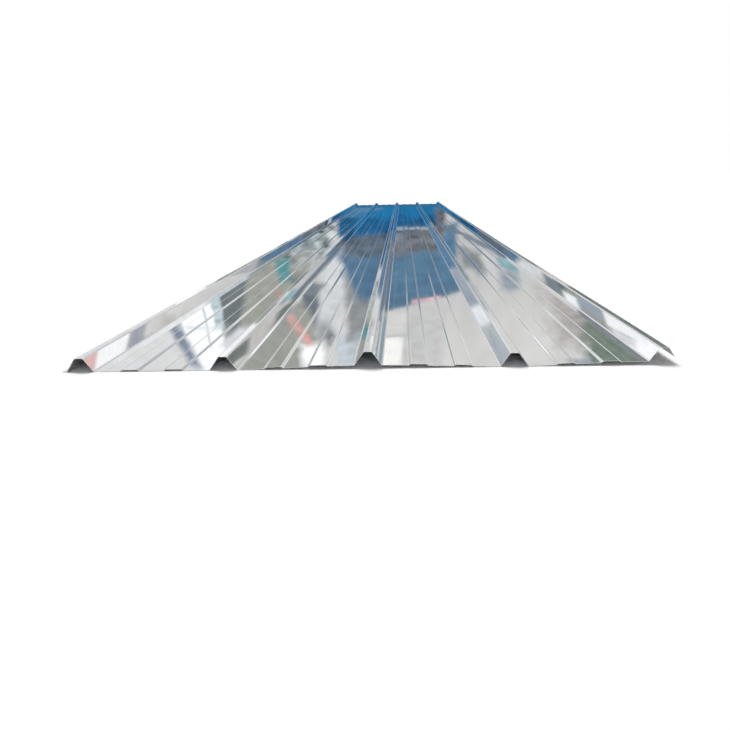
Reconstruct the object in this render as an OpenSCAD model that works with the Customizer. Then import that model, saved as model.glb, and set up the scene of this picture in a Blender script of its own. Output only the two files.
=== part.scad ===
// Roll-formed trapezoidal sheet with main ribs, low stiffeners in each pan and side-lap edges.
// X runs across the ribs, Y along them and Z up, with the underside of the pans at Z = 0.
// The origin is under the middle of the sheet's outline. Sizes are in millimetres.

/* [Sheet] */
// Length of the sheet along its ribs
sheet_len = 6000; // [1800:100:8000]
// Thickness of the coated metal
sheet_t = 0.5; // [0.35:0.05:0.8]
// Inside radius of every rolled bend
bend_r = 3; // [1:0.25:4]

/* [Main ribs] */
// Number of main ribs, with the two edge ribs counted
rib_count = 5; // [3:1:7]
// Distance from one main rib to the next
rib_pitch = 210; // [195:1:250]
// Height of a main rib above the pans
rib_h = 20; // [16:1:30]
// Width of a main rib between its feet
rib_foot_w = 40; // [36:1:50]
// Width of the flat crest of a main rib
rib_crest_w = 12; // [10:1:20]

/* [Stiffeners] */
// Number of low stiffeners in each pan
stiff_count = 2; // [1:1:2]
// Distance between the stiffeners of one pan
stiff_pitch = 64; // [48:1:72]
// Height of a stiffener above the pan
stiff_h = 2; // [1:0.25:3]
// Width of a stiffener between its feet
stiff_foot_w = 28; // [22:1:34]
// Width of each sloping side of a stiffener, seen from above
stiff_side_w = 2.5; // [2:0.25:5]

/* [Side laps] */
// Width of the flat bearing foot outside the left edge rib
lap_foot_w = 7; // [5:0.5:20]
// Drop of the short outer leg of the right edge rib below its crest
lap_leg_h = 14; // [8:0.5:14]

/* [Hidden] */

// Number of steps in which each rolled bend turns
bend_steps = 6;
// Radius of a bend at the middle of the metal
mid_r = bend_r + sheet_t / 2;
// Width of a stiffener's flat crest
stiff_crest_w = stiff_foot_w - 2 * stiff_side_w;
// Width and slope of each web of a main rib
web_w = (rib_foot_w - rib_crest_w) / 2;
web_slope = atan2(rib_h, web_w);

// Place of the first and last main rib about the middle of the rib row
first_x = -(rib_count - 1) / 2 * rib_pitch;
last_x = first_x + (rib_count - 1) * rib_pitch;
// Free edges of the metal: the end of the left foot and the end of the right leg
foot_end = [first_x - rib_foot_w / 2 - lap_foot_w, 0];
leg_end = [last_x + rib_crest_w / 2 + web_w * lap_leg_h / rib_h, rib_h - lap_leg_h];
// Middle of the outline, from the left foot to the outer face of the right leg
mid_x = (foot_end[0] + leg_end[0] + sheet_t / 2 * sin(web_slope)) / 2;

// Four corners of a raised trapezoid about x
function raised(x, foot_w, crest_w, h) = [
    [x - foot_w / 2, 0],
    [x - crest_w / 2, h],
    [x + crest_w / 2, h],
    [x + foot_w / 2, 0]
];

function rib_x(k) = first_x + k * rib_pitch;

function stiff_x(k, s) = rib_x(k) + rib_pitch / 2 + (s - (stiff_count - 1) / 2) * stiff_pitch;

function rib(k) = raised(rib_x(k), rib_foot_w, rib_crest_w, rib_h);

function stiffener(k, s) = raised(stiff_x(k, s), stiff_foot_w, stiff_crest_w, stiff_h);

// Every rib but the last, each followed by the stiffeners of the pan on its right
bays = [
    for (k = [0 : rib_count - 2])
        for (corner = concat(rib(k), [for (s = [0 : stiff_count - 1]) each stiffener(k, s)])) corner
];
// The last rib without its outer foot
last_rib = [for (i = [0 : 2]) rib(rib_count - 1)[i]];

// Corners of the folded line at the middle of the metal, from the left foot to the right leg
fold = concat([foot_end], bays, last_rib, [leg_end]);
last = len(fold) - 1;

// Heading of the flat that leaves corner i, and the turn that the bend at corner i makes
function heading(i) = atan2(fold[i + 1][1] - fold[i][1], fold[i + 1][0] - fold[i][0]);
function turn(i) = heading(i) - heading(i - 1);

// Unit vectors along a heading and to its left, which is the upper side of the sheet
function along(angle) = [cos(angle), sin(angle)];
function left_of(angle) = [-sin(angle), cos(angle)];

// Centre of the bend at corner i, which is tangent to the flats on both sides
function bend_centre(i) =
    let (side = sign(turn(i)), setback = mid_r * tan(abs(turn(i)) / 2))
    fold[i] - setback * along(heading(i - 1)) + side * mid_r * left_of(heading(i - 1));

// Face of the metal through the bend at corner i, a given distance to the left of the folded line
function bend_face(i, offset) = [
    for (j = [0 : bend_steps])
        bend_centre(i)
            + (offset - sign(turn(i)) * mid_r) * left_of(heading(i - 1) + turn(i) * j / bend_steps)
];

// Whole face of the metal, from the free edge on the left to the one on the right
function face(offset) = concat(
    [fold[0] + offset * left_of(heading(0))],
    [for (i = [1 : last - 1]) each bend_face(i, offset)],
    [fold[last] + offset * left_of(heading(last - 1))]
);

function reversed(list) = [for (i = [len(list) - 1 : -1 : 0]) list[i]];

// The whole section, with the underside of the pans on the floor
module section() {
    translate([-mid_x, sheet_t / 2])
        polygon(concat(face(sheet_t / 2), reversed(face(-sheet_t / 2))));
}

module sheet() {
    color([0.72, 0.75, 0.78])
        translate([0, sheet_len / 2, 0])
            rotate([90, 0, 0])
                linear_extrude(sheet_len) section();
}

sheet();
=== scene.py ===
"""Roll-formed ribbed metal sheet, and the plain studio that it is shown in.

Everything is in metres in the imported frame: X across the ribs, Y along them and Z up from the floor.
"""
import math

import bpy
import numpy as np
from mathutils import Matrix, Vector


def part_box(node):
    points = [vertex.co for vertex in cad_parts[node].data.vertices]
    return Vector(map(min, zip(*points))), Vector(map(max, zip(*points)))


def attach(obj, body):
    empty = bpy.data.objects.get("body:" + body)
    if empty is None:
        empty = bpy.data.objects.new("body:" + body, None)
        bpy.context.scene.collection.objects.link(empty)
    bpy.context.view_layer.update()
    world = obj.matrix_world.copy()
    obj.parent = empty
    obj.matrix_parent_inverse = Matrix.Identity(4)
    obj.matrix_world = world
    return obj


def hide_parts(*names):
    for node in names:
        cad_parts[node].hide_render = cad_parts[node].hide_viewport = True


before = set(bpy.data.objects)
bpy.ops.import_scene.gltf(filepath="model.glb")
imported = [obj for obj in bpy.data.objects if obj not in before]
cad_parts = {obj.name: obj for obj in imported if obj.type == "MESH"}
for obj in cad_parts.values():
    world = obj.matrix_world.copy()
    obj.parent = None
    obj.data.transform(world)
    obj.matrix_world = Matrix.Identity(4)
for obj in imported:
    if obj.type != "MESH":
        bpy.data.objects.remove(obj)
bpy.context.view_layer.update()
SHEET_LOW, SHEET_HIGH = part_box("sheet")

bl_info = {
    "name": "Ribbed Metal Sheet",
    "version": (1, 0, 0),
    "blender": (4, 5, 0),
    "location": "View3D > Sidebar > Sheet",
    "description": "Rolls a ribbed sheet of bright coated metal and sets a plain studio round it",
    "category": "Object",
}

# Steps in which each rolled bend turns, and stations along the sheet
BEND_STEPS = 4
STATIONS = 121
# Step for slopes of the sheet's waves
SLOPE_STEP = 1e-4
# Waves in the pans: share of the height, length along the sheet, waves a metre across, and offset in waves
PAN_WAVES = (
    (0.55, 1.30, 1.7, 0.0),
    (0.30, 0.57, -2.3, 0.21),
    (0.15, 0.31, 3.1, 0.63),
)
# Numbers of the sheet's surfaces in its zone attribute
UPPER_FACE = 0.0
UNDERSIDE = 1.0
CUT_EDGE = 2.0
# How far apart the two faces' grain is taken, so that it differs
FACE_STEP = 7.0
# Height of the coating's grain
GRAIN_HEIGHT = 1e-6
# Focal length of the camera and width of the picture, in pixels
FOCAL_PIXELS = 648.6
PICTURE_PIXELS = 730


class SheetSizes(bpy.types.PropertyGroup):
    """Sizes of the rolled section and of the waves that the sheet keeps when it lies unheld."""

    length: bpy.props.FloatProperty(
        name="Length", description="Length along the ribs", unit="LENGTH",
        default=SHEET_HIGH.y - SHEET_LOW.y)
    thickness: bpy.props.FloatProperty(
        name="Thickness", description="Thickness of the coated metal", unit="LENGTH", precision=5,
        default=0.0005)
    bend_radius: bpy.props.FloatProperty(
        name="Bend radius", description="Inside radius of every bend", unit="LENGTH", precision=4,
        default=0.003)
    rib_count: bpy.props.IntProperty(
        name="Ribs", description="Number of main ribs, the two edge ribs counted", default=5, min=2)
    rib_pitch: bpy.props.FloatProperty(
        name="Rib pitch", description="Distance from one main rib to the next", unit="LENGTH",
        default=0.210)
    rib_height: bpy.props.FloatProperty(
        name="Rib height", description="Height of a main rib above the pans", unit="LENGTH",
        default=0.020)
    rib_foot: bpy.props.FloatProperty(
        name="Rib foot", description="Width of a main rib between its feet", unit="LENGTH",
        default=0.040)
    rib_crest: bpy.props.FloatProperty(
        name="Rib crest", description="Width of a main rib's flat crest", unit="LENGTH",
        default=0.012)
    stiff_count: bpy.props.IntProperty(
        name="Stiffeners", description="Number of low stiffeners in each pan", default=2, min=1)
    stiff_pitch: bpy.props.FloatProperty(
        name="Stiffener pitch", description="Distance between the stiffeners of one pan", unit="LENGTH",
        default=0.064)
    stiff_height: bpy.props.FloatProperty(
        name="Stiffener height", description="Height of a stiffener above the pan",
        unit="LENGTH", precision=4, default=0.002)
    stiff_foot: bpy.props.FloatProperty(
        name="Stiffener foot", description="Width of a stiffener between its feet", unit="LENGTH",
        default=0.028)
    stiff_crest: bpy.props.FloatProperty(
        name="Stiffener crest", description="Width of a stiffener's flat crest", unit="LENGTH",
        default=0.023)
    lap_foot: bpy.props.FloatProperty(
        name="Lap foot", description="Width of the flat foot outside the left edge rib",
        unit="LENGTH", precision=4, default=0.007)
    lap_leg: bpy.props.FloatProperty(
        name="Lap leg", description="Drop of the right edge rib's short outer leg", unit="LENGTH",
        default=0.014)
    wave: bpy.props.FloatProperty(
        name="Pan wave", description="Height of the long waves that rolling leaves in the pans",
        unit="LENGTH", precision=5, default=0.0005)
    middle_lift: bpy.props.FloatProperty(
        name="Middle lift", description="Lift of the near end at the middle rib",
        unit="LENGTH", precision=4, default=0.0046)
    edge_lift: bpy.props.FloatProperty(
        name="Edge lift", description="Lift of the near end at the right edge rib",
        unit="LENGTH", precision=4, default=0.0052)
    lift_reach: bpy.props.FloatProperty(
        name="Lift reach", description="How far the lift of the near end carries along the sheet",
        unit="LENGTH", default=0.9)


class MetalFinish(bpy.types.PropertyGroup):
    """Colours and grain of the bright metal coating."""

    zinc: bpy.props.FloatVectorProperty(
        name="Zinc", description="Colour of the bright coating", subtype="COLOR", size=3,
        default=(0.86, 0.87, 0.885))
    zinc_dull: bpy.props.FloatVectorProperty(
        name="Dull zinc", description="Colour of the coating's duller flakes and streaks",
        subtype="COLOR", size=3, default=(0.77, 0.785, 0.80))
    bare_steel: bpy.props.FloatVectorProperty(
        name="Bare steel", description="Colour of the cut edges", subtype="COLOR", size=3,
        default=(0.78, 0.79, 0.80))
    roughness: bpy.props.FloatProperty(
        name="Roughness", description="Roughness of the bright upper face", subtype="FACTOR",
        default=0.025)
    underside_roughness: bpy.props.FloatProperty(
        name="Underside roughness", description="Roughness added on the underside", subtype="FACTOR",
        default=0.16)
    bend_wear: bpy.props.FloatProperty(
        name="Bend wear", description="How dull and pale rolling leaves the coating on the bends",
        subtype="FACTOR", default=0.35)
    haze: bpy.props.FloatProperty(
        name="Haze", description="How pale the faint streaks along the sheet are", subtype="FACTOR",
        default=0.10)
    spangle: bpy.props.FloatProperty(
        name="Spangle", description="Size of the coating's flakes", unit="LENGTH", precision=4,
        default=0.004)


class StudioSettings(bpy.types.PropertyGroup):
    """Camera, light, floor and the walls that the metal mirrors."""

    camera_place: bpy.props.FloatVectorProperty(
        name="Camera", description="Place of the camera", subtype="TRANSLATION", unit="LENGTH", size=3,
        default=(0.0573, -3.8952, 0.2625))
    camera_turn: bpy.props.FloatVectorProperty(
        name="Camera turn", description="Turn to the right, tilt upwards and roll of the camera",
        subtype="EULER", unit="ROTATION", size=3,
        default=(math.radians(-1.578), math.radians(-16.054), math.radians(-1.187)))
    focal: bpy.props.FloatProperty(
        name="Focal length", description="Focal length in widths of the picture",
        default=FOCAL_PIXELS / PICTURE_PIXELS)
    shift: bpy.props.FloatProperty(
        name="Sideways shift", description="Sideways shift of the lens in widths of the picture",
        default=-0.03)
    floor: bpy.props.FloatVectorProperty(
        name="Floor", description="Colour of the floor", subtype="COLOR", size=3,
        default=(0.97, 0.97, 0.97))
    sky: bpy.props.FloatProperty(
        name="Ambient", description="Strength of the even light from all sides", default=0.35)
    sun: bpy.props.FloatProperty(
        name="Soft sun", description="Strength of the large soft lamp overhead", default=2.5)
    sun_size: bpy.props.FloatProperty(
        name="Sun size", description="Angle that the soft lamp covers", subtype="ANGLE", unit="ROTATION",
        default=math.radians(35))
    sun_turn: bpy.props.FloatVectorProperty(
        name="Sun turn", description="How the soft lamp is turned from straight down", subtype="EULER",
        unit="ROTATION", size=3, default=(math.radians(-18), math.radians(-22), 0.0))
    wall_low: bpy.props.FloatVectorProperty(
        name="Wall foot", description="Colour that the metal mirrors low down", subtype="COLOR", size=3,
        default=(0.60, 0.605, 0.60))
    wall_high: bpy.props.FloatVectorProperty(
        name="Wall top", description="Colour that the metal mirrors high up", subtype="COLOR", size=3,
        default=(0.78, 0.77, 0.74))
    wall_uneven: bpy.props.FloatProperty(
        name="Wall unevenness", description="How much the wall behind the far end varies in tone",
        subtype="FACTOR", default=0.45)
    side_low: bpy.props.FloatVectorProperty(
        name="Side wall foot", description="Colour that the metal mirrors low down on the other sides",
        subtype="COLOR", size=3, default=(0.16, 0.18, 0.20))
    side_high: bpy.props.FloatVectorProperty(
        name="Side wall top",
        description="Colour that the metal mirrors overhead and high up on the other sides",
        subtype="COLOR", size=3, default=(0.68, 0.69, 0.70))
    side_uneven: bpy.props.FloatProperty(
        name="Side wall unevenness", description="How much the other sides vary in tone",
        subtype="FACTOR", default=0.9)


def raised(centres, foot, crest, height):
    """Corners of a raised trapezoid about each centre: foot, crest, crest and foot, as (across, up)."""
    across = np.asarray(centres)[..., None] + np.array([-foot, -crest, crest, foot]) / 2
    up = np.broadcast_to(np.array([0.0, height, height, 0.0]), across.shape)
    return np.stack([across, up], axis=-1)


def centred_row(count, pitch):
    """Places of evenly spaced things about zero."""
    return (np.arange(count) - (count - 1) / 2) * pitch


def folded_line(size):
    """Corners of the line at the middle of the metal, from the left foot's free edge to the right leg's.

    Each bay is a main rib followed by the stiffeners of the pan on its right. The last rib has no outer
    foot, and its outer web stops short at the leg's drop.
    """
    ribs = centred_row(size.rib_count, size.rib_pitch)
    mains = raised(ribs, size.rib_foot, size.rib_crest, size.rib_height)
    pans = ribs[:-1, None] + size.rib_pitch / 2 + centred_row(size.stiff_count, size.stiff_pitch)
    lows = raised(pans, size.stiff_foot, size.stiff_crest, size.stiff_height)
    bays = np.concatenate([mains[:-1, None], lows], axis=1).reshape(-1, 2)
    foot_end = mains[0, 0] - (size.lap_foot, 0.0)
    leg_end = mains[-1, 2] + (mains[-1, 3] - mains[-1, 2]) * size.lap_leg / size.rib_height
    return np.vstack([foot_end, bays, mains[-1, :3], leg_end])


def compass(angle):
    """Unit vectors along a heading and to its left, which is the upper side of the sheet."""
    along = np.stack([np.cos(angle), np.sin(angle)], axis=-1)
    left = np.stack([-np.sin(angle), np.cos(angle)], axis=-1)
    return along, left


def rolled_section(size):
    """Headings and points of the upper, middle and lower line of the section, as rolled.

    Each corner of the folded line becomes an arc that is tangent to both flats. A point of a face is the
    arc's centre plus the radius, less or plus half the thickness, along the left of the heading there.
    """
    fold = folded_line(size)
    flats = np.diff(fold, axis=0)
    heading = np.arctan2(flats[:, 1], flats[:, 0])
    turn = np.diff(heading)
    radius = np.sign(turn) * (size.bend_radius + size.thickness / 2)
    along, left = compass(heading)
    setback = np.abs(radius) * np.tan(np.abs(turn) / 2)
    centre = fold[1:-1] - setback[:, None] * along[:-1] + radius[:, None] * left[:-1]
    angle = heading[:-1, None] + turn[:, None] * np.linspace(0.0, 1.0, BEND_STEPS + 1)
    out = compass(angle)[1]
    ends = np.array([fold[0], fold[-1]]), np.array([left[0], left[-1]])

    def line(offset):
        arcs = (centre[:, None] + (offset - radius)[:, None, None] * out).reshape(-1, 2)
        first, last = ends[0] + offset * ends[1]
        return np.vstack([first, arcs, last])

    angles = np.concatenate([heading[:1], angle.ravel(), heading[-1:]])
    return angles, line(size.thickness / 2), line(0.0), line(-size.thickness / 2)


def lying_height(size, x, y):
    """Height of the lying sheet above flat, from the place across, x, and the place along, y.

    The near end lifts at the middle rib and the right edge rib: each lift is a squared cosine across, one
    pitch to either side, times a bell curve along. The pans add waves, a sum of sines along and across
    that is never below zero, times a squared sine across that is zero at every rib.
    """
    ribs = centred_row(size.rib_count, size.rib_pitch) + rib_shift(size)
    along = y - SHEET_LOW.y
    bell = np.exp(-((along / size.lift_reach) ** 2))

    def lift(rib):
        return np.cos(np.clip(np.abs(x - rib) / size.rib_pitch, 0.0, 1.0) * math.pi / 2) ** 2

    end = (size.middle_lift * lift(ribs[len(ribs) // 2]) + size.edge_lift * lift(ribs[-1])) * bell
    pan = np.sin((x - ribs[0]) / size.rib_pitch * math.pi) ** 2
    waves = sum(
        share * np.sin(2 * math.pi * (y / length + turns * x + offset))
        for share, length, turns, offset in PAN_WAVES
    )
    return end + size.wave * (1.0 + waves) / 2 * pan


def rib_shift(size):
    """Shift across from the middle of the rib row, about which the section is worked out, to its place."""
    section = rolled_section(size)
    left = min(section[1][:, 0].min(), section[3][:, 0].min())
    return SHEET_LOW.x - left


def sheet_surface(size):
    """The sheet as one closed surface: points, four-cornered faces, corner normals and point coordinates.

    The section is carried along Y and raised by the lying height h. With the section's heading a, the
    normal at a point is (-sin a - cos a dh/dx, -cos a dh/dy, cos a), and the other way on the underside.
    Strips along the free edges and rows of faces at both ends close it.
    """
    angles, upper, middle, lower = rolled_section(size)
    shift = np.array([rib_shift(size), size.thickness / 2])
    y = np.linspace(SHEET_LOW.y, SHEET_HIGH.y, STATIONS)[:, None]
    count = len(angles)

    def carried(line):
        x, z = (line + shift).T
        rise = lying_height(size, x, y)
        return np.stack(np.broadcast_arrays(x, y, z + rise), axis=-1)

    def slope(x, step_x, step_y):
        rise = lying_height(size, x + step_x, y + step_y) - lying_height(size, x - step_x, y - step_y)
        return rise / (2 * SLOPE_STEP)

    def normals(line):
        x = (line + shift)[:, 0]
        slope_x = slope(x, SLOPE_STEP, 0.0)
        slope_y = slope(x, 0.0, SLOPE_STEP)
        cos, sin = np.cos(angles), np.sin(angles)
        found = np.stack(np.broadcast_arrays(-sin - cos * slope_x, -cos * slope_y, cos), axis=-1)
        return found / np.linalg.norm(found, axis=-1, keepdims=True)

    points = np.concatenate([carried(upper).reshape(-1, 3), carried(lower).reshape(-1, 3)])
    facing = np.concatenate([normals(upper).reshape(-1, 3), -normals(lower).reshape(-1, 3)])

    top = np.arange(STATIONS * count).reshape(STATIONS, count)
    low = top + STATIONS * count

    def quads(a, b, c, d):
        return np.stack([a, b, c, d], axis=-1).reshape(-1, 4)

    skins = np.concatenate([
        quads(top[:-1, :-1], top[:-1, 1:], top[1:, 1:], top[1:, :-1]),
        quads(low[:-1, :-1], low[1:, :-1], low[1:, 1:], low[:-1, 1:]),
    ])
    edges = [
        quads(top[:-1, 0], top[1:, 0], low[1:, 0], low[:-1, 0]),
        quads(low[:-1, -1], low[1:, -1], top[1:, -1], top[:-1, -1]),
        quads(top[0, :-1], low[0, :-1], low[0, 1:], top[0, 1:]),
        quads(top[-1, 1:], low[-1, 1:], low[-1, :-1], top[-1, :-1]),
    ]
    first, last = compass(angles[[0, -1]])[0]
    outward = np.array([[-first[0], 0, -first[1]], [last[0], 0, last[1]], [0, -1, 0], [0, 1, 0]])
    faces = np.concatenate([skins, *edges])
    cut = np.repeat(outward, [4 * len(e) for e in edges], axis=0)
    corner_normals = np.concatenate([facing[skins.ravel()], cut])

    run = np.concatenate([[0.0], np.cumsum(np.linalg.norm(np.diff(middle, axis=0), axis=1))])
    strip = np.stack(np.broadcast_arrays(run, y, 0.0), axis=-1).reshape(-1, 3)
    strip = np.concatenate([strip, strip + (0.0, 0.0, 1.0)])
    skin_count = len(skins) // 2
    cut_count = len(faces) - len(skins)
    zone = np.repeat([UPPER_FACE, UNDERSIDE, CUT_EDGE], [skin_count, skin_count, cut_count])
    turn = np.abs(np.diff(angles))
    bend = np.concatenate([np.tile(turn / turn.max(), 2 * (STATIONS - 1)), np.zeros(cut_count)])
    return points, faces, corner_normals, strip, zone, bend


def surface_object(name, points, faces, corner_normals=None, attributes=()):
    """An object with these points and four-cornered faces.

    Each attribute is given as its name, type, domain, the key of its data, and the array.
    """
    mesh = bpy.data.meshes.new(name)
    mesh.vertices.add(len(points))
    mesh.vertices.foreach_set("co", np.asarray(points, np.float32).ravel())
    mesh.loops.add(faces.size)
    mesh.loops.foreach_set("vertex_index", faces.ravel().astype(np.int32))
    mesh.polygons.add(len(faces))
    mesh.polygons.foreach_set("loop_start", np.arange(0, faces.size, 4, dtype=np.int32))
    mesh.update(calc_edges=True)
    for label, kind, domain, key, values in attributes:
        made = mesh.attributes.new(label, kind, domain)
        made.data.foreach_set(key, np.asarray(values, np.float32).ravel())
    if corner_normals is not None:
        mesh.polygons.foreach_set("use_smooth", np.ones(len(faces), bool))
        mesh.normals_split_custom_set(corner_normals.tolist())
    piece = bpy.data.objects.new(name, mesh)
    bpy.context.scene.collection.objects.link(piece)
    return piece


class Value:
    """A value socket in a node tree. Arithmetic on it adds Math nodes, and gives a Value again."""

    def __init__(self, socket):
        self.socket = socket

    def maths(self, operation, *inputs, clamp=False):
        node = self.socket.id_data.nodes.new("ShaderNodeMath")
        node.operation = operation
        node.use_clamp = clamp
        for socket, given in zip(node.inputs, inputs):
            if isinstance(given, Value):
                self.socket.id_data.links.new(given.socket, socket)
            else:
                socket.default_value = given
        return Value(node.outputs[0])

    def __add__(self, other):
        return self.maths("ADD", self, other)

    __radd__ = __add__

    def __sub__(self, other):
        return self.maths("SUBTRACT", self, other)

    def __rsub__(self, other):
        return self.maths("SUBTRACT", other, self)

    def __mul__(self, other):
        return self.maths("MULTIPLY", self, other)

    __rmul__ = __mul__

    def __truediv__(self, other):
        return self.maths("DIVIDE", self, other)

    def __pow__(self, other):
        return self.maths("POWER", self, other)

    def clamped(self):
        """The value held between 0 and 1."""
        return self.maths("ADD", self, 0.0, clamp=True)

    def between(self, low, high):
        """0 below low, 1 above high, and straight between them."""
        return ((self - low) / (high - low)).clamped()


class Nodes:
    """Builds one node tree."""

    def __init__(self, tree):
        self.tree = tree
        tree.nodes.clear()

    def add(self, kind, settings=None, **inputs):
        """A node of a type, with its settings set first, then the values or links of its sockets.

        A socket is named by its label in lower case with underscores, or by i and its number.
        """
        node = self.tree.nodes.new(kind)
        for key, given in (settings or {}).items():
            setattr(node, key, given)
        labels = {s.name.lower().replace(" ", "_"): s for s in reversed(node.inputs)}
        labels.update({f"i{k}": s for k, s in enumerate(node.inputs)})
        for key, given in inputs.items():
            source = given.socket if isinstance(given, Value) else given
            if isinstance(source, bpy.types.NodeSocket):
                self.tree.links.new(source, labels[key])
            else:
                labels[key].default_value = source
        return node

    def out(self, kind, settings=None, output=0, **inputs):
        """The output of a new node as a Value."""
        return Value(self.add(kind, settings, **inputs).outputs[output])

    def scaled(self, vector, factors):
        """A vector multiplied by a factor for each axis."""
        return self.out("ShaderNodeVectorMath", {"operation": "MULTIPLY"}, i0=vector, i1=factors)

    def even(self, value):
        """A vector with the same value on each axis."""
        return self.out("ShaderNodeCombineXYZ", None, 0, x=value, y=value, z=value)

    def toned(self, colour, tone):
        """A colour made lighter or darker."""
        return self.scaled(colour, self.even(tone))

    def noise(self, place, turns, detail, roughness=0.5):
        """Noise that varies so many times a metre along each axis."""
        return self.out("ShaderNodeTexNoise", None, 0, vector=self.scaled(place, turns), scale=1.0,
                        detail=detail, roughness=roughness)

    def attribute(self, name, output="Fac"):
        """An attribute of the mesh."""
        return self.out("ShaderNodeAttribute", {"attribute_name": name}, output)

    def blend(self, factor, first, second):
        """A colour that goes from first to second."""
        return self.out("ShaderNodeMix", {"data_type": "RGBA"}, 2, i0=factor, i6=first, i7=second)


def new_material(name):
    """A new material, and the builder of its empty node tree."""
    material = bpy.data.materials.new(name)
    material.use_nodes = True
    return material, Nodes(material.node_tree)


def opaque(colour):
    """A colour with its alpha, as a colour socket takes it."""
    return (*colour, 1.0)


def bright_coating(finish):
    """Bright metal coating with flakes, roll lines along the sheet and faint dull streaks."""
    material, nodes = new_material("bright_coating")
    strip = nodes.attribute("strip", "Vector")
    zone = nodes.attribute("zone")
    bend = nodes.attribute("bend")
    edge = zone.between(UNDERSIDE + 0.4, CUT_EDGE - 0.4)
    underside = zone.between(UPPER_FACE + 0.4, UNDERSIDE - 0.4) * (1 - edge)

    def grain(across, along, detail):
        """Noise that varies so many times a metre across and along the sheet."""
        return nodes.noise(strip, (across, along, FACE_STEP), detail, roughness=0.6)

    lines = grain(620.0, 0.9, 3.0)
    bands = grain(46.0, 0.25, 2.0)
    streaks = grain(110.0, 0.3, 2.0)
    clouds = grain(5.0, 1.6, 4.0)
    flakes = nodes.out("ShaderNodeTexVoronoi", {"feature": "F1"}, "Color",
                       vector=strip, scale=1.0 / finish.spangle)
    flake = nodes.out("ShaderNodeSeparateColor", None, 0, color=flakes)

    dull = (
        (lines - 0.5) * 0.9 + (bands - 0.5) * 0.8
        + (flake - 0.5) * 0.25 + (clouds - 0.5) * 0.5 + 0.35
    ).clamped()
    coat = nodes.blend(dull, opaque(finish.zinc), opaque(finish.zinc_dull))
    worn = bend ** 4.0 * finish.bend_wear * (0.6 + bands * 0.8)
    haze = streaks.between(0.52, 0.80) * finish.haze
    colour = nodes.blend(edge, coat, opaque(finish.bare_steel))
    roughness = (
        finish.roughness + dull * 0.03 + clouds.between(0.58, 0.75) * 0.02
        + underside * finish.underside_roughness + edge * 0.3 + worn * 0.4
    )
    relief = lines * 0.6 + flake * 0.4
    bump = nodes.out("ShaderNodeBump", None, 0, strength=0.5, distance=GRAIN_HEIGHT, height=relief)
    shader = nodes.add("ShaderNodeBsdfPrincipled", None, base_color=colour, roughness=roughness,
                       metallic=1 - worn - haze - edge * 0.4, normal=bump)
    nodes.add("ShaderNodeOutputMaterial", None, surface=shader.outputs[0])
    return material


# Floor, just under the sheet so that the two share no plane
FLOOR_DROP = 0.0003
FLOOR_REACH = 60.0
# Walls and ceiling round the sheet that only the metal mirrors. Each wall has two ends on the floor
WALL_HEIGHT = 5.0
CEILING_REACH = 9.0
WALLS = {
    "far": ((-7.0, 5.2), (7.0, 5.2)),
    "near": ((7.0, -8.0), (-7.0, -8.0)),
    "left": ((-7.0, -8.0), (-7.0, 5.2)),
    "right": ((7.0, 5.2), (7.0, -8.0)),
}
# Heights over which the wall behind the far end, and the other sides, change from foot to top
PLAIN_HEIGHTS = (0.4, 2.6)
SIDE_HEIGHTS = (0.0, 3.6)
# Half the width of the wall behind the far end that stays plain
PLAIN_HALF = 4.0
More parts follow.
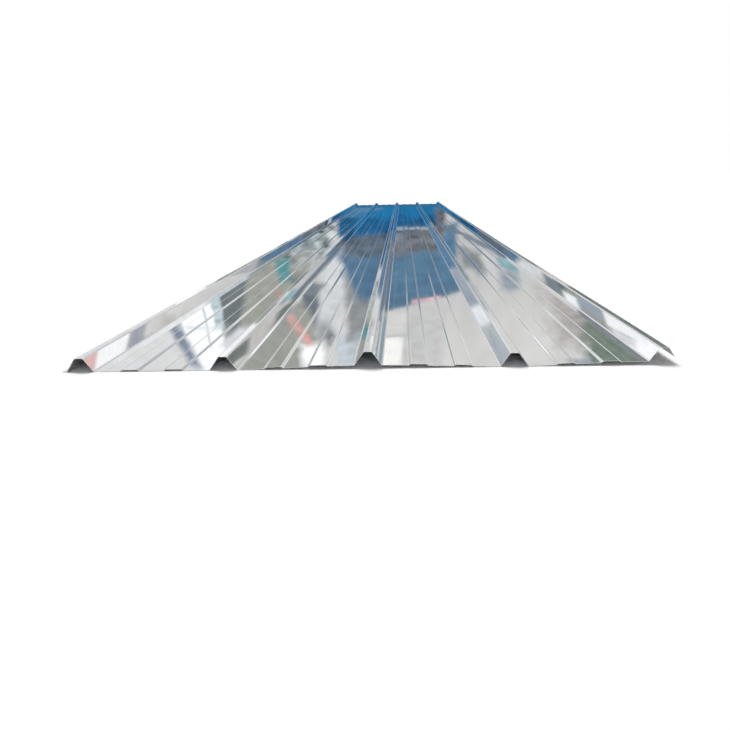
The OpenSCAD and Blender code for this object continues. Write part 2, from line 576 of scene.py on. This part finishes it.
# Patches painted before the far wall, each a little nearer than those above it. A row gives its left and
# right edge, its bottom and top edge, how much the upright edges lean and the level ones rise to the right,
# how wide either kind fades, its colour and how uneven that is
BACKDROP = 5.0
PATCH_STEP = 0.004
PATCHES = {
    "pale_left": ((-5.00, -3.15), (1.20, 2.80), (0.0, 0.0), (0.20, 0.30), (0.8, 0.81, 0.8), 0.15),
    "khaki": ((-2.45, -1.20), (0.50, 2.70), (0.0, 0.0), (0.25, 0.30), (0.38, 0.39, 0.35), 0.25),
    "slate": ((-2.56, -2.17), (1.00, 1.80), (-0.2, 0.0), (0.14, 0.30), (0.18, 0.21, 0.22), 0.3),
    "white_light": ((-3.05, -2.47), (1.20, 2.60), (0.12, 0.0), (0.08, 0.20), (1.15, 1.15, 1.15), 0.1),
    "pale_cyan": ((-2.62, -2.48), (1.15, 1.75), (0.12, 0.0), (0.06, 0.16), (0.58, 0.7, 0.74), 0.8),
    "slate_left": ((-3.14, -2.98), (1.60, 2.32), (0.46, 0.0), (0.14, 0.25), (0.25, 0.30, 0.39), 0.4),
    "light_bar": ((-3.00, -2.48), (1.71, 1.74), (0.0, 0.15), (0.10, 0.02), (0.68, 0.74, 0.78), 0.2),
    "light_post": ((-2.73, -2.70), (1.30, 2.00), (0.15, 0.0), (0.02, 0.20), (0.68, 0.74, 0.78), 0.2),
    "mottle": ((-1.70, -0.75), (0.25, 0.80), (0.0, 0.0), (0.50, 0.40), (0.37, 0.41, 0.41), 2.0),
    "teal": ((-1.66, -1.48), (0.75, 1.10), (0.15, 0.0), (0.10, 0.12), (0.10, 0.31, 0.33), 0.4),
    "salmon_far": ((-1.70, -1.62), (1.18, 1.34), (0.5, 0.0), (0.08, 0.10), (0.48, 0.35, 0.32), 0.4),
    "dark_green": ((-1.32, -1.08), (1.05, 1.88), (0.35, 0.0), (0.18, 0.35), (0.16, 0.19, 0.22), 0.3),
    "white_patch": ((-1.52, -1.18), (1.86, 2.60), (0.0, 0.0), (0.18, 0.18), (1.15, 1.15, 1.17), 0.1),
    "salmon": ((-1.49, -1.38), (1.64, 1.88), (0.4, 0.0), (0.08, 0.12), (0.8, 0.42, 0.36), 0.4),
    "salmon_low": ((-1.59, -1.48), (1.50, 1.70), (0.3, 0.0), (0.08, 0.12), (0.7, 0.42, 0.37), 0.4),
    "pale_strip": ((-1.08, -0.74), (0.45, 1.65), (-0.3, 0.0), (0.16, 0.40), (0.72, 0.74, 0.75), 0.2),
    "light_left": ((-0.98, -0.44), (1.75, 2.70), (0.0, 0.0), (0.15, 0.30), (0.62, 0.69, 0.73), 0.25),
    "mid_grey": ((-0.78, -0.40), (0.95, 1.86), (0.0, 0.0), (0.18, 0.40), (0.3, 0.32, 0.33), 0.3),
    "upper_white": ((-1.20, 2.20), (2.60, 4.60), (0.0, 0.0), (0.30, 0.20), (1, 1, 1), 0.1),
    "upper_grey": ((-3.60, -1.65), (2.46, 4.50), (0.0, 0.0), (0.30, 0.16), (0.24, 0.25, 0.28), 0.2),
    "upper_slate": ((0.50, 1.80), (2.40, 4.45), (0.0, 0.0), (0.20, 0.12), (0.26, 0.28, 0.31), 0.25),
    "white_middle": ((-0.40, 0.13), (1.86, 2.70), (0.0, 0.0), (0.08, 0.06), (1.06, 1.06, 1.01), 0.1),
    "grey_line": ((-0.40, 0.32), (1.83, 1.86), (0.0, -0.06), (0.08, 0.02), (0.45, 0.46, 0.47), 0.2),
    "grey_middle": ((0.14, 0.75), (1.45, 2.25), (0.0, 0.0), (0.20, 0.30), (0.63, 0.63, 0.62), 0.15),
    "steel_left": ((-0.70, 0.10), (0.60, 1.22), (0.45, -0.2), (0.14, 0.24), (0.1, 0.2, 0.32), 0.3),
    "steel_blue": ((-0.30, 0.80), (0.60, 1.34), (0.2, -0.22), (0.10, 0.05), (0.105, 0.21, 0.325), 0.3),
    "over_blue": ((-0.16, 0.14), (1.50, 1.80), (0.0, 0.0), (0.10, 0.08), (0.75, 0.74, 0.725), 0.15),
    "rose_line": ((0.22, 0.62), (1.28, 1.32), (0.0, -0.16), (0.08, 0.03), (0.88, 0.52, 0.53), 0.3),
    "brown_left": ((-0.74, 0.00), (0.40, 0.72), (0.0, -0.08), (0.12, 0.12), (0.115, 0.15, 0.195), 0.9),
    "brown_right": ((-0.05, 0.62), (0.40, 0.70), (0.0, -0.08), (0.12, 0.12), (0.17, 0.185, 0.21), 0.9),
    "dark_blue": ((-0.80, 0.58), (0.16, 0.44), (0.0, -0.08), (0.10, 0.10), (0.014, 0.115, 0.27), 0.6),
    "deep_blue": ((-0.84, 0.60), (-0.10, 0.23), (0.0, 0.0), (0.12, 0.10), (0.013, 0.17, 0.375), 0.25),
    "navy_left": ((-0.86, -0.20), (0.04, 0.19), (0.0, -0.2), (0.08, 0.05), (0.11, 0.23, 0.37), 0.25),
    "rust": ((0.50, 0.64), (0.14, 0.48), (0.0, 0.0), (0.12, 0.12), (0.15, 0.15, 0.165), 0.9),
    "pale_line": ((-0.02, 0.42), (0.37, 0.40), (0.0, 0.0), (0.10, 0.02), (0.52, 0.58, 0.64), 0.3),
    "dark_line": ((-0.14, 0.46), (0.41, 0.43), (0.0, 0.0), (0.10, 0.02), (0.02, 0.04, 0.07), 0.3),
    "blue_edge": ((0.60, 0.78), (0.32, 0.64), (0.0, 0.0), (0.12, 0.16), (0.1, 0.24, 0.38), 0.3),
    "grey_right": ((0.82, 1.10), (0.67, 0.96), (0.2, 0.3), (0.16, 0.16), (0.26, 0.28, 0.29), 0.3),
    "teal_grey": ((1.33, 1.58), (0.95, 1.23), (0.0, 0.0), (0.18, 0.18), (0.34, 0.39, 0.45), 0.3),
    "teal_right": ((1.34, 1.58), (0.78, 0.94), (0.0, 0.3), (0.12, 0.08), (0.25, 0.45, 0.5), 0.4),
    "beige": ((1.96, 2.70), (1.15, 2.10), (0.15, 0.0), (0.44, 0.34), (0.47, 0.45, 0.43), 0.25),
    "sage": ((2.42, 3.95), (1.45, 2.46), (-0.05, 0.0), (0.34, 0.10), (0.2, 0.25, 0.21), 0.35),
    "slate_right": ((2.22, 2.56), (2.37, 2.58), (1.1, 0.0), (0.08, 0.10), (0.40, 0.43, 0.48), 0.2),
    "white_right": ((2.58, 2.94), (2.57, 2.94), (1.1, 0.0), (0.06, 0.04), (1.12, 1.12, 1.12), 0.1),
    "salmon_right": ((2.85, 3.42), (2.93, 3.50), (1.1, 0.0), (0.08, 0.04), (0.85, 0.56, 0.53), 0.2),
    "low_beige": ((1.50, 3.20), (0.20, 1.33), (0.0, 0.6), (0.10, 0.06), (0.62, 0.605, 0.58), 0.25),
    "low_teal": ((1.52, 2.25), (-0.10, 0.52), (0.0, 0.0), (0.16, 0.10), (0.28, 0.37, 0.41), 0.25),
    "low_right": ((0.56, 1.48), (-0.30, 0.43), (0.0, 0.75), (0.10, 0.06), (0.14, 0.19, 0.25), 0.25),
    "slate_band": ((0.56, 1.46), (0.515, 0.575), (0.0, 0.459), (0.06, 0.03), (0.18, 0.22, 0.27), 0.25),
    "low_left": ((-1.42, -0.86), (-0.10, 0.34), (0.0, -0.3), (0.12, 0.10), (0.36, 0.41, 0.48), 0.25),
    "low_white_left": ((-1.72, -1.43), (-0.10, 0.50), (0.0, 0.0), (0.10, 0.10), (0.86, 0.89, 0.93), 0.15),
    "low_grey_left": ((-2.45, -1.80), (-0.10, 0.62), (0.0, 0.0), (0.12, 0.12), (0.46, 0.51, 0.54), 0.25),
    "gap_white_near": ((-2.28, -2.06), (1.66, 2.12), (-1.1, 0.0), (0.06, 0.04), (1.05, 1.05, 1.07), 0.1),
    "gap_slate": ((-1.80, -1.60), (1.38, 1.64), (-1.1, 0.0), (0.06, 0.04), (0.36, 0.42, 0.48), 0.2),
    "gap_white_far": ((-1.58, -1.41), (1.23, 1.37), (-1.1, 0.0), (0.05, 0.04), (1, 1.02, 1.04), 0.1),
    "gap_slate_far": ((-1.30, -1.10), (1.06, 1.20), (-1.2, 0.0), (0.06, 0.05), (0.22, 0.26, 0.29), 0.2),
    "grey_corner": ((-2.34, -2.20), (1.68, 1.95), (-1.1, 0.0), (0.10, 0.10), (0.82, 0.82, 0.86), 0.2),
    "gap_grey_right": ((0.94, 1.09), (1.12, 1.54), (0.6, 0.0), (0.05, 0.08), (0.46, 0.48, 0.50), 0.2),
    "gap_slate_right": ((0.75, 0.88), (0.86, 1.12), (0.6, 0.0), (0.05, 0.06), (0.22, 0.27, 0.31), 0.25),
    "crest_dark": ((2.84, 3.08), (1.16, 2.05), (1.52, 0.0), (0.06, 0.12), (0.20, 0.23, 0.215), 0.25),
    "crest_dark_far": ((1.47, 1.69), (0.60, 0.90), (1.52, 0.0), (0.06, 0.10), (0.20, 0.23, 0.215), 0.25),
    "low_outer_left": ((-5.60, -2.55), (-1.00, 1.50), (0.0, -0.45), (0.15, 0.15), (0.32, 0.33, 0.35), 0.2),
}
# Low strip just past the far end, which hides the floor there from the ribs' slopes
FAR_STRIP_ENDS = ((-0.46, 3.03), (0.46, 3.03))
FAR_STRIP_HEIGHT = 0.03
FAR_STRIP_COLOUR = (0.025, 0.15, 0.31)
# Width of the camera's sensor in millimetres, and the nearest and furthest that it sees
SENSOR_WIDTH = 36.0
CLIP_NEAR = 0.02
CLIP_FAR = 200.0


def seen_ray(nodes):
    """1 for rays from the camera and from mirror or see-through surfaces, 0 for the light on the object."""
    path = nodes.add("ShaderNodeLightPath")
    kinds = ("Is Camera Ray", "Is Glossy Ray", "Is Transmission Ray")
    camera, mirror, through = (Value(path.outputs[kind]) for kind in kinds)
    return (camera + mirror + through).clamped()


def pale_floor(studio):
    """Plain pale floor that keeps shadows."""
    material, nodes = new_material("pale_floor")
    lit = nodes.add("ShaderNodeBsdfDiffuse", None, color=opaque(studio.floor))
    nodes.add("ShaderNodeOutputMaterial", None, surface=lit.outputs[0])
    return material


def patch_paint():
    """Glow of the backdrop's patches, which vary in tone and fade out unevenly along their edges."""
    material, nodes = new_material("patch_paint")
    place = nodes.out("ShaderNodeTexCoord", None, "Object")
    paint = nodes.attribute("paint", "Color")
    cover = nodes.attribute("cover")
    grain = nodes.attribute("grain")
    ragged = nodes.noise(place, (5.0, 5.0, 9.0), 3.0)
    shade = nodes.noise(place, (5.0, 5.0, 14.0), 4.0)
    tone = 1 + (shade - 0.5) * grain * 3.0
    covered = (cover + (ragged - 0.5) * 0.9).between(0.15, 0.85)
    glow = nodes.add("ShaderNodeEmission", None, color=nodes.toned(paint, tone), strength=1.0)
    clear = nodes.add("ShaderNodeBsdfTransparent")
    mixed = nodes.add("ShaderNodeMixShader", None, fac=covered, i1=clear.outputs[0], i2=glow.outputs[0])
    nodes.add("ShaderNodeOutputMaterial", None, surface=mixed.outputs[0])
    return material


def strip_paint():
    """Even glow of the low strip past the far end."""
    material, nodes = new_material("far_strip")
    glow = nodes.add("ShaderNodeEmission", None, color=opaque(FAR_STRIP_COLOUR), strength=1.0)
    nodes.add("ShaderNodeOutputMaterial", None, surface=glow.outputs[0])
    return material


def wall_paint(studio):
    """Glow of the walls and ceiling that the metal mirrors, greyer at the foot and paler at the top.

    It is plain behind the sheet's far end, and darker with broad soft bands on all other sides.
    """
    material, nodes = new_material("wall_paint")
    place = nodes.out("ShaderNodeTexCoord", None, "Object")
    across, along, height = (nodes.out("ShaderNodeSeparateXYZ", None, k, vector=place) for k in range(3))
    plain = nodes.blend(height.between(*PLAIN_HEIGHTS), opaque(studio.wall_low), opaque(studio.wall_high))
    sides = nodes.blend(height.between(*SIDE_HEIGHTS), opaque(studio.side_low), opaque(studio.side_high))
    drift = nodes.noise(place, (2.2, 2.2, 1.5), 3.0)
    bands = nodes.noise(place, (0.55, 0.55, 0.22), 2.0)
    plain = nodes.toned(plain, 1 + (drift - 0.5) * studio.wall_uneven)
    sides = nodes.toned(sides, 1 + (bands.between(0.34, 0.66) - 0.5) * studio.side_uneven)
    off = across / PLAIN_HALF
    aside = (off * off).between(1.0, 2.4)
    before = (BACKDROP - along).between(0.0, 0.2)
    colour = nodes.blend((aside + before).clamped(), plain, sides)
    glow = nodes.add("ShaderNodeEmission", None, color=colour, strength=1.0)
    nodes.add("ShaderNodeOutputMaterial", None, surface=glow.outputs[0])
    return material


def painted_patches():
    """Points, faces, cover, paint and grain of all patches.

    A patch is an inner and an outer four-sided outline, half the fade inside and outside its edges,
    joined by a ring of four faces. Its cover is one inside and falls to zero over the ring. A corner is
    moved sideways by the lean times its height above the patch's middle, and up by the rise times its
    distance to the right of it.
    """
    across, up, slant, fade, colour, grain = (np.array(column) for column in zip(*PATCHES.values()))
    count = len(PATCHES)
    middle = np.stack([across.mean(axis=1), up.mean(axis=1)], axis=-1)
    half = np.stack([np.ptp(across, axis=1), np.ptp(up, axis=1)], axis=-1) / 2
    corner = np.array([(-1, -1), (1, -1), (1, 1), (-1, 1)])
    grow = np.stack([-fade / 2, fade / 2], axis=1)
    local = corner * (half[:, None] + grow)[:, :, None]
    flat = middle[:, None, None] + local + slant[:, None, None] * local[..., ::-1]
    depth = np.broadcast_to((BACKDROP - PATCH_STEP * np.arange(count))[:, None, None], flat.shape[:3])
    points = np.stack([flat[..., 0], depth, flat[..., 1]], axis=-1).reshape(-1, 3)

    index = np.arange(count * 8).reshape(count, 2, 4)
    inner, outer = index[:, 0], index[:, 1]
    ring = np.stack([outer, np.roll(outer, -1, axis=1), np.roll(inner, -1, axis=1), inner], axis=-1)
    faces = np.concatenate([inner.reshape(-1, 4), ring.reshape(-1, 4)])
    cover = np.tile(np.repeat([1.0, 0.0], 4), count)
    return points, faces, cover, np.repeat(colour, 8, axis=0), np.repeat(grain, 8)


def upright(start, end, bottom, top):
    """Points and face of an upright rectangle that stands on the line from start to end."""
    ground = np.array([start, end, end, start])
    height = np.array([bottom, bottom, top, top])
    return np.column_stack([ground, height]), np.arange(4).reshape(1, 4)


def level_square(reach, height):
    """Points and face of a level square about the origin."""
    x = np.array([-1, 1, 1, -1]) * reach
    y = np.array([-1, -1, 1, 1]) * reach
    return np.stack([x, y, np.full(4, height)], axis=-1), np.arange(4).reshape(1, 4)


def camera_axes(turn, tilt, roll):
    """Right, up and backward axes of a camera turned to the right, tilted upwards and rolled."""
    ahead = np.array([math.sin(turn) * math.cos(tilt), math.cos(turn) * math.cos(tilt), math.sin(tilt)])
    level = np.array([math.cos(turn), -math.sin(turn), 0.0])
    above = np.cross(level, ahead)
    right = math.cos(roll) * level + math.sin(roll) * above
    up = -math.sin(roll) * level + math.cos(roll) * above
    return np.stack([right, up, -ahead], axis=1)


class SHEET_OT_roll(bpy.types.Operator):
    """Roll the ribbed sheet from its folded section and give it its bright coating."""

    bl_idname = "ribbed_sheet.roll"
    bl_label = "Roll Sheet"

    def execute(self, context):
        scene = context.scene
        points, faces, normals, strip, zone, bend = sheet_surface(scene.sheet_sizes)
        piece = surface_object("ribbed_sheet", points, faces, normals, (
            ("strip", "FLOAT_VECTOR", "POINT", "vector", strip),
            ("zone", "FLOAT", "FACE", "value", zone),
            ("bend", "FLOAT", "FACE", "value", bend),
        ))
        piece.data.materials.append(bright_coating(scene.metal_finish))
        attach(piece, "root")
        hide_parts("sheet")
        return {"FINISHED"}


class SHEET_OT_studio(bpy.types.Operator):
    """Set the floor, the surfaces that the metal mirrors, the light and the camera."""

    bl_idname = "ribbed_sheet.studio"
    bl_label = "Set Studio"

    def mirrored(self, name, shape, material, attributes=()):
        """Add a surface that only the metal mirrors."""
        card = surface_object(name, *shape, attributes=attributes)
        card.data.materials.append(material)
        card.visible_camera = False
        card.visible_diffuse = False
        card.visible_shadow = False
        card.visible_transmission = False

    def set_floor(self, studio):
        """Lay the pale floor."""
        floor = surface_object("floor", *level_square(FLOOR_REACH, -FLOOR_DROP))
        floor.data.materials.append(pale_floor(studio))

    def set_surroundings(self, studio):
        """Stand up all that the metal mirrors: walls, ceiling, backdrop and low strip."""
        paint = wall_paint(studio)
        for name, ends in WALLS.items():
            self.mirrored(name + "_wall", upright(*ends, 0.0, WALL_HEIGHT), paint)
        self.mirrored("ceiling", level_square(CEILING_REACH, WALL_HEIGHT), paint)
        points, faces, cover, colour, grain = painted_patches()
        self.mirrored("backdrop", (points, faces), patch_paint(), (
            ("cover", "FLOAT", "POINT", "value", cover),
            ("paint", "FLOAT_VECTOR", "POINT", "vector", colour),
            ("grain", "FLOAT", "POINT", "value", grain),
        ))
        self.mirrored("far_strip", upright(*FAR_STRIP_ENDS, 0.0, FAR_STRIP_HEIGHT), strip_paint())

    def set_light(self, scene, studio):
        """Set an even world, white where it is seen, and one large soft lamp."""
        world = bpy.data.worlds.new("studio_world")
        world.use_nodes = True
        nodes = Nodes(world.node_tree)
        strength = studio.sky + seen_ray(nodes) * (1.0 - studio.sky)
        even = nodes.add("ShaderNodeBackground", None, color=(1.0, 1.0, 1.0, 1.0), strength=strength)
        nodes.add("ShaderNodeOutputWorld", None, surface=even.outputs[0])
        scene.world = world

        lamp = bpy.data.lights.new("soft_sun", "SUN")
        lamp.energy = studio.sun
        lamp.angle = studio.sun_size
        sun = bpy.data.objects.new("soft_sun", lamp)
        sun.rotation_euler = studio.sun_turn
        sun.visible_glossy = False
        scene.collection.objects.link(sun)

    def set_camera(self, scene, studio):
        """Place the camera as the picture was taken."""
        camera = bpy.data.cameras.new("camera")
        camera.sensor_width = SENSOR_WIDTH
        camera.lens = studio.focal * SENSOR_WIDTH
        camera.shift_x = studio.shift
        camera.clip_start = CLIP_NEAR
        camera.clip_end = CLIP_FAR
        eye = bpy.data.objects.new("camera", camera)
        turned = Matrix(camera_axes(*studio.camera_turn).tolist()).to_4x4()
        eye.matrix_world = Matrix.Translation(studio.camera_place) @ turned
        scene.collection.objects.link(eye)
        scene.camera = eye

    def execute(self, context):
        scene = context.scene
        studio = scene.studio_settings
        self.set_floor(studio)
        self.set_surroundings(studio)
        self.set_light(scene, studio)
        self.set_camera(scene, studio)
        scene.view_settings.view_transform = "Standard"
        return {"FINISHED"}


class SHEET_PT_tools(bpy.types.Panel):
    """Sizes, finish and studio of the ribbed sheet."""

    bl_idname = "SHEET_PT_tools"
    bl_label = "Ribbed Sheet"
    bl_space_type = "VIEW_3D"
    bl_region_type = "UI"
    bl_category = "Sheet"

    def draw(self, context):
        scene = context.scene
        for group in (scene.sheet_sizes, scene.metal_finish, scene.studio_settings):
            box = self.layout.box()
            for name in group.__annotations__:
                box.prop(group, name)
        self.layout.operator(SHEET_OT_roll.bl_idname)
        self.layout.operator(SHEET_OT_studio.bl_idname)


CLASSES = (SheetSizes, MetalFinish, StudioSettings, SHEET_OT_roll, SHEET_OT_studio, SHEET_PT_tools)


def register():
    for item in CLASSES:
        bpy.utils.register_class(item)
    bpy.types.Scene.sheet_sizes = bpy.props.PointerProperty(type=SheetSizes)
    bpy.types.Scene.metal_finish = bpy.props.PointerProperty(type=MetalFinish)
    bpy.types.Scene.studio_settings = bpy.props.PointerProperty(type=StudioSettings)


def unregister():
    del bpy.types.Scene.sheet_sizes, bpy.types.Scene.metal_finish, bpy.types.Scene.studio_settings
    for item in reversed(CLASSES):
        bpy.utils.unregister_class(item)


def main():
    register()
    bpy.ops.ribbed_sheet.roll()
    bpy.ops.ribbed_sheet.studio()


if __name__ == "__main__":
    main()
